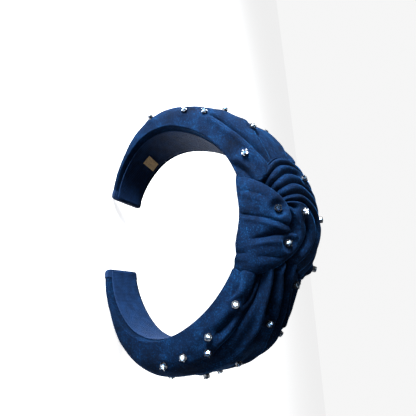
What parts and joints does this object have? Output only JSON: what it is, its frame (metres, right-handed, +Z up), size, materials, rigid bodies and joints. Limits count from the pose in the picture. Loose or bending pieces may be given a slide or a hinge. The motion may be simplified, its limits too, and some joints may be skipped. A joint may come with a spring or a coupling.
{
  "type": "knotted headband",
  "caption": "Padded velvet headband with a turban knot at the crown, clear stones in claw settings, a ribbon lining and legs that spring apart to fit a head.",
  "frame": {"origin": "the middle of the lining's inner face at the crown, where the band sits on the head", "axes": "+Z up through the crown, +X towards the right leg along the line from ear to ear, +Y across the band from its front edge to its back edge"},
  "size_m": [0.1754, 0.0604, 0.1352],
  "materials": {
    "velvet": "cut pile, deep navy",
    "foam": "open-cell pad",
    "core_plastic": "moulded",
    "lining_ribbon": "fine ribbed ribbon",
    "tag_metal": "satin gold",
    "clear_stone": "faceted",
    "setting_metal": "polished"
  },
  "bodies": {
    "crown": {"core_crown": "core_plastic", "foam_crown": "foam", "knot_loop": "velvet", "knot_wrap": "velvet", "lining_crown": "lining_ribbon", "settings_crown": "setting_metal", "stone_crown_01": "clear_stone", "stone_crown_02": "clear_stone", "stone_crown_03": "clear_stone", "stone_crown_04": "clear_stone", "stone_crown_05": "clear_stone", "stone_crown_06": "clear_stone", "stone_crown_07": "clear_stone", "stone_crown_08": "clear_stone", "stone_crown_09": "clear_stone", "velvet_crown": "velvet"},
    "right_leg": {"core_leg_right": "core_plastic", "foam_leg_right": "foam", "lining_leg_right": "lining_ribbon", "settings_right": "setting_metal", "stone_right_01": "clear_stone", "stone_right_02": "clear_stone", "stone_right_03": "clear_stone", "stone_right_04": "clear_stone", "stone_right_05": "clear_stone", "stone_right_06": "clear_stone", "stone_right_07": "clear_stone", "stone_right_08": "clear_stone", "stone_right_09": "clear_stone", "stone_right_10": "clear_stone", "stone_right_11": "clear_stone", "stone_right_12": "clear_stone", "tip_binding_right": "lining_ribbon", "velvet_leg_right": "velvet"},
    "left_leg": {"core_leg_left": "core_plastic", "foam_leg_left": "foam", "lining_leg_left": "lining_ribbon", "settings_left": "setting_metal", "stone_left_01": "clear_stone", "stone_left_02": "clear_stone", "stone_left_03": "clear_stone", "stone_left_04": "clear_stone", "stone_left_05": "clear_stone", "stone_left_06": "clear_stone", "stone_left_07": "clear_stone", "stone_left_08": "clear_stone", "stone_left_09": "clear_stone", "stone_left_10": "clear_stone", "tag": "tag_metal", "tip_binding_left": "lining_ribbon", "velvet_leg_left": "velvet"}
  },
  "joints": [
    {"name": "right_flex", "type": "hinge", "parent": "crown", "child": "right_leg", "pos_m": [0.03761, -0.00079, -0.0083], "axis": [-0.1471, -0.9626, -0.2276], "range_deg": [-4, 10], "stiffness_Nm_per_rad": 1.6},
    {"name": "left_flex", "type": "hinge", "parent": "crown", "child": "left_leg", "pos_m": [-0.03761, -0.00079, -0.0083], "axis": [-0.1471, 0.9626, 0.2276], "range_deg": [-4, 10], "stiffness_Nm_per_rad": 1.6}
  ]
}
